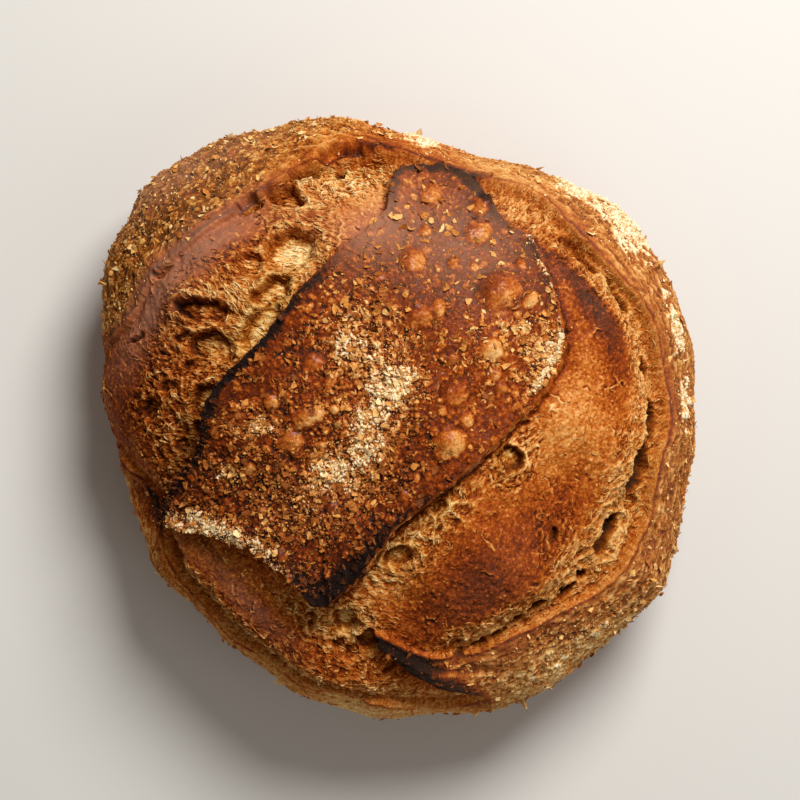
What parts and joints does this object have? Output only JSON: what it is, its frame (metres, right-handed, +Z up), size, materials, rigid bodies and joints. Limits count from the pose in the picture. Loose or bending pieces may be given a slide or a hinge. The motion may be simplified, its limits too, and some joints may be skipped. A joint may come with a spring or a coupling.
{
  "type": "sourdough loaf",
  "caption": "Round hearth-baked sourdough loaf with a raised scored crust, torn bloom around it, blisters and baked-on bran flakes.",
  "frame": {"origin": "middle of the loaf's flat bottom, on the surface that it rests on", "axes": "+Z up through the crust, +Y towards the loaf's blunt back edge, +X to the right of it seen from above"},
  "size_m": [0.2256, 0.2275, 0.1051],
  "materials": {
    "crust": "dry baked bread crust, matte and rough, slightly glossy where it is smooth and dark"
  },
  "bodies": {
    "root": {"loaf": "crust"}
  },
  "joints": []
}
